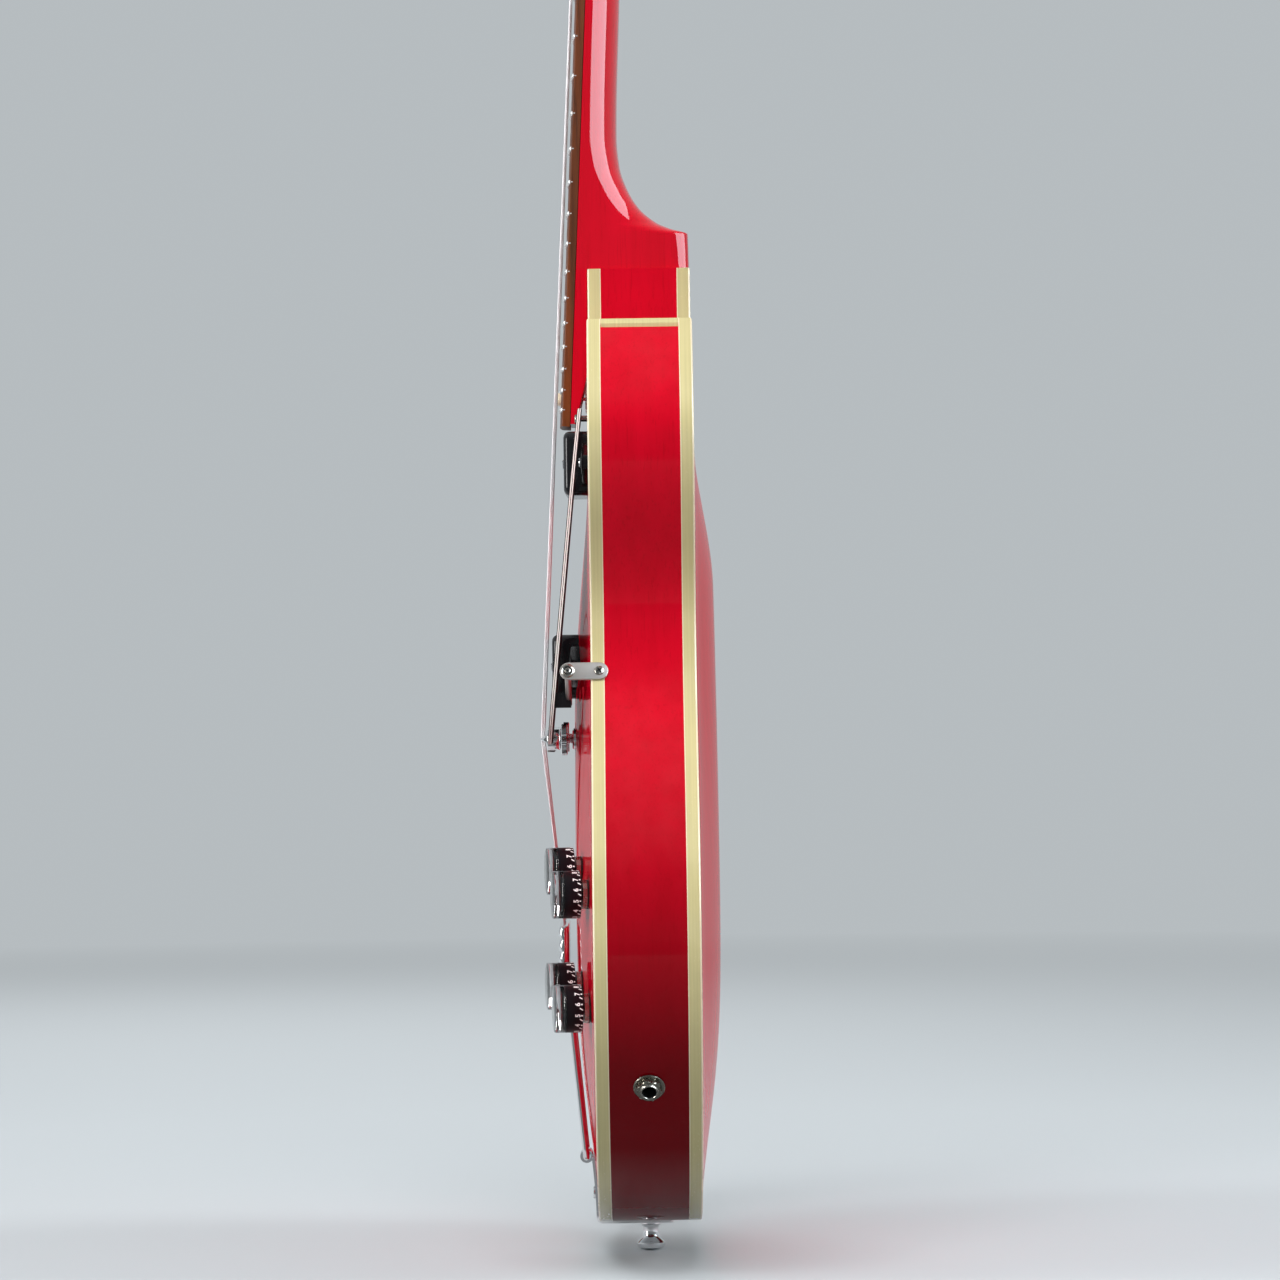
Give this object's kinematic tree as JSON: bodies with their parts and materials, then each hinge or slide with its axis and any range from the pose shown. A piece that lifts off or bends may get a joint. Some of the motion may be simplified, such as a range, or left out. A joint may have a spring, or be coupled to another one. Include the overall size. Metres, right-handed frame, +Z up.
{
  "type": "semi-hollow electric guitar",
  "caption": "Semi-hollow electric guitar with a pointed cutaway, bound arched body, trapeze tailpiece, floating pickguard, two covered pickups and four knobs.",
  "frame": {"origin": "lower end of the body on its centre line, half way through the depth of the sides", "axes": "+Z up the neck to the headstock, -Y out of the strings' side, +X to the treble side"},
  "size_m": [0.406, 0.105, 1.0712],
  "materials": {
    "cherry": "transparent cherry gloss lacquer",
    "binding": "aged cream, satin",
    "rosewood": "oiled, open grain",
    "maple": "raw",
    "chrome": "bright plate",
    "nickel": "nickel plate",
    "steel": "drawn wire",
    "black": "polished",
    "bone": "cream"
  },
  "bodies": {
    "guitar": {"top_plate": "cherry", "back_plate": "cherry", "rim": "cherry", "neck": "cherry", "front_binding": "binding", "back_binding": "binding", "cutaway_binding": "binding", "fingerboard": "rosewood", "centre_block": "maple", "tailpiece_bracket": "chrome", "strap_button": "chrome", "pickguard_bracket": "nickel", "jack_socket": "nickel", "switch_body": "nickel", "tuner_plate_bass": "nickel", "tuner_plate_treble": "nickel", "potentiometer_volume_neck": "nickel", "potentiometer_volume_bridge": "nickel", "potentiometer_tone_neck": "nickel", "potentiometer_tone_bridge": "nickel", "truss_rod": "steel", "string_1": "steel", "string_2": "steel", "string_3": "steel", "string_4": "steel", "string_5": "steel", "string_6": "steel", "pickguard": "black", "pickup_cover_neck": "black", "pickup_cover_bridge": "black", "pickup_coil_neck": "black", "pickup_coil_bridge": "black", "nut": "bone"},
    "knob_volume_neck": {"knob_volume_neck": "black"},
    "knob_volume_bridge": {"knob_volume_bridge": "black"},
    "knob_tone_neck": {"knob_tone_neck": "black"},
    "knob_tone_bridge": {"knob_tone_bridge": "black"},
    "switch_lever": {"switch_lever": "bone"},
    "tailpiece_frame": {"tailpiece_frame": "chrome"},
    "bridge_body": {"bridge_body": "chrome"},
    "bridge_stud_bass": {"bridge_stud_bass": "chrome"},
    "bridge_stud_treble": {"bridge_stud_treble": "chrome"},
    "saddle_1": {"saddle_1": "chrome"},
    "saddle_2": {"saddle_2": "chrome"},
    "saddle_3": {"saddle_3": "chrome"},
    "saddle_4": {"saddle_4": "chrome"},
    "saddle_5": {"saddle_5": "chrome"},
    "saddle_6": {"saddle_6": "chrome"},
    "tuner_button_bass_1": {"tuner_button_bass_1": "bone"},
    "tuner_post_bass_1": {"tuner_post_bass_1": "nickel"},
    "tuner_button_bass_2": {"tuner_button_bass_2": "bone"},
    "tuner_post_bass_2": {"tuner_post_bass_2": "nickel"},
    "tuner_button_bass_3": {"tuner_button_bass_3": "bone"},
    "tuner_post_bass_3": {"tuner_post_bass_3": "nickel"},
    "tuner_button_treble_1": {"tuner_button_treble_1": "bone"},
    "tuner_post_treble_1": {"tuner_post_treble_1": "nickel"},
    "tuner_button_treble_2": {"tuner_button_treble_2": "bone"},
    "tuner_post_treble_2": {"tuner_post_treble_2": "nickel"},
    "tuner_button_treble_3": {"tuner_button_treble_3": "bone"},
    "tuner_post_treble_3": {"tuner_post_treble_3": "nickel"}
  },
  "joints": [
    {"name": "volume_neck_turn", "type": "hinge", "parent": "guitar", "child": "knob_volume_neck", "pos_m": [0.118, -0.03302, 0.1898], "axis": [0.1045, -0.9945, 0], "range_deg": [-150, 150]},
    {"name": "volume_bridge_turn", "type": "hinge", "parent": "guitar", "child": "knob_volume_bridge", "pos_m": [0.118, -0.03341, 0.1311], "axis": [0.1045, -0.9945, 0], "range_deg": [-150, 150]},
    {"name": "tone_neck_turn", "type": "hinge", "parent": "guitar", "child": "knob_tone_neck", "pos_m": [0.16, -0.02945, 0.1796], "axis": [0.1045, -0.9945, 0], "range_deg": [-150, 150]},
    {"name": "tone_bridge_turn", "type": "hinge", "parent": "guitar", "child": "knob_tone_bridge", "pos_m": [0.16, -0.02931, 0.1222], "axis": [0.1045, -0.9945, 0], "range_deg": [-150, 150]},
    {"name": "switch_throw", "type": "hinge", "parent": "guitar", "child": "switch_lever", "pos_m": [-0.1, -0.024, 0.44], "axis": [1, 0, 0], "range_deg": [-14, 14]},
    {"name": "tailpiece_swing", "type": "hinge", "parent": "guitar", "child": "tailpiece_frame", "pos_m": [0, -0.03343, 0.034], "axis": [1, 0, 0], "range_deg": [-1, 2]},
    {"name": "bridge_height", "type": "slide", "parent": "guitar", "child": "bridge_body", "axis": [0, 1, 0], "range_m": [0, 0.002]},
    {"name": "thumbwheel_turn_bass", "type": "hinge", "parent": "bridge_body", "child": "bridge_stud_bass", "pos_m": [-0.0375, -0.042, 0.2555], "axis": [0, 1, 0], "range_deg": [0, 901]},
    {"name": "thumbwheel_turn_treble", "type": "hinge", "parent": "bridge_body", "child": "bridge_stud_treble", "pos_m": [0.0375, -0.042, 0.2555], "axis": [0, 1, 0], "range_deg": [0, 901]},
    {"name": "saddle_1_intonation", "type": "slide", "parent": "bridge_body", "child": "saddle_1", "axis": [0, 0, 1], "range_m": [-0.001, 0.002]},
    {"name": "saddle_2_intonation", "type": "slide", "parent": "bridge_body", "child": "saddle_2", "axis": [0, 0, 1], "range_m": [-0.001, 0.002]},
    {"name": "saddle_3_intonation", "type": "slide", "parent": "bridge_body", "child": "saddle_3", "axis": [0, 0, 1], "range_m": [-0.001, 0.002]},
    {"name": "saddle_4_intonation", "type": "slide", "parent": "bridge_body", "child": "saddle_4", "axis": [0, 0, 1], "range_m": [-0.001, 0.002]},
    {"name": "saddle_5_intonation", "type": "slide", "parent": "bridge_body", "child": "saddle_5", "axis": [0, 0, 1], "range_m": [-0.001, 0.002]},
    {"name": "saddle_6_intonation", "type": "slide", "parent": "bridge_body", "child": "saddle_6", "axis": [0, 0, 1], "range_m": [-0.001, 0.002]},
    {"name": "tuner_button_bass_1_turn", "type": "hinge", "parent": "guitar", "child": "tuner_button_bass_1", "pos_m": [-0.026, 0.01679, 0.92213], "axis": [-1, 0, 0], "continuous": true},
    {"name": "tuner_post_bass_1_turn", "type": "hinge", "parent": "guitar", "child": "tuner_post_bass_1", "pos_m": [-0.026, -0.00189, 0.92775], "axis": [0, -0.9576, 0.2882], "continuous": true},
    {"name": "tuner_button_bass_2_turn", "type": "hinge", "parent": "guitar", "child": "tuner_button_bass_2", "pos_m": [-0.026, 0.02831, 0.96043], "axis": [-1, 0, 0], "continuous": true},
    {"name": "tuner_post_bass_2_turn", "type": "hinge", "parent": "guitar", "child": "tuner_post_bass_2", "pos_m": [-0.026, 0.00964, 0.96605], "axis": [0, -0.9576, 0.2882], "continuous": true},
    {"name": "tuner_button_bass_3_turn", "type": "hinge", "parent": "guitar", "child": "tuner_button_bass_3", "pos_m": [-0.026, 0.03984, 0.99874], "axis": [-1, 0, 0], "continuous": true},
    {"name": "tuner_post_bass_3_turn", "type": "hinge", "parent": "guitar", "child": "tuner_post_bass_3", "pos_m": [-0.026, 0.02117, 1.00436], "axis": [0, -0.9576, 0.2882], "continuous": true},
    {"name": "tuner_button_treble_1_turn", "type": "hinge", "parent": "guitar", "child": "tuner_button_treble_1", "pos_m": [0.026, 0.01679, 0.92213], "axis": [1, 0, 0], "continuous": true},
    {"name": "tuner_post_treble_1_turn", "type": "hinge", "parent": "guitar", "child": "tuner_post_treble_1", "pos_m": [0.026, -0.00189, 0.92775], "axis": [0, -0.9576, 0.2882], "continuous": true},
    {"name": "tuner_button_treble_2_turn", "type": "hinge", "parent": "guitar", "child": "tuner_button_treble_2", "pos_m": [0.026, 0.02831, 0.96043], "axis": [1, 0, 0], "continuous": true},
    {"name": "tuner_post_treble_2_turn", "type": "hinge", "parent": "guitar", "child": "tuner_post_treble_2", "pos_m": [0.026, 0.00964, 0.96605], "axis": [0, -0.9576, 0.2882], "continuous": true},
    {"name": "tuner_button_treble_3_turn", "type": "hinge", "parent": "guitar", "child": "tuner_button_treble_3", "pos_m": [0.026, 0.03984, 0.99874], "axis": [1, 0, 0], "continuous": true},
    {"name": "tuner_post_treble_3_turn", "type": "hinge", "parent": "guitar", "child": "tuner_post_treble_3", "pos_m": [0.026, 0.02117, 1.00436], "axis": [0, -0.9576, 0.2882], "continuous": true}
  ],
  "couplings": [
    {"joint": "thumbwheel_turn_bass", "follows": "bridge_height", "rad_per_m": 7854},
    {"joint": "thumbwheel_turn_treble", "follows": "bridge_height", "rad_per_m": 7854},
    {"joint": "tuner_post_bass_1_turn", "follows": "tuner_button_bass_1_turn", "ratio": 0.066667},
    {"joint": "tuner_post_bass_2_turn", "follows": "tuner_button_bass_2_turn", "ratio": 0.066667},
    {"joint": "tuner_post_bass_3_turn", "follows": "tuner_button_bass_3_turn", "ratio": 0.066667},
    {"joint": "tuner_post_treble_1_turn", "follows": "tuner_button_treble_1_turn", "ratio": 0.066667},
    {"joint": "tuner_post_treble_2_turn", "follows": "tuner_button_treble_2_turn", "ratio": 0.066667},
    {"joint": "tuner_post_treble_3_turn", "follows": "tuner_button_treble_3_turn", "ratio": 0.066667}
  ]
}
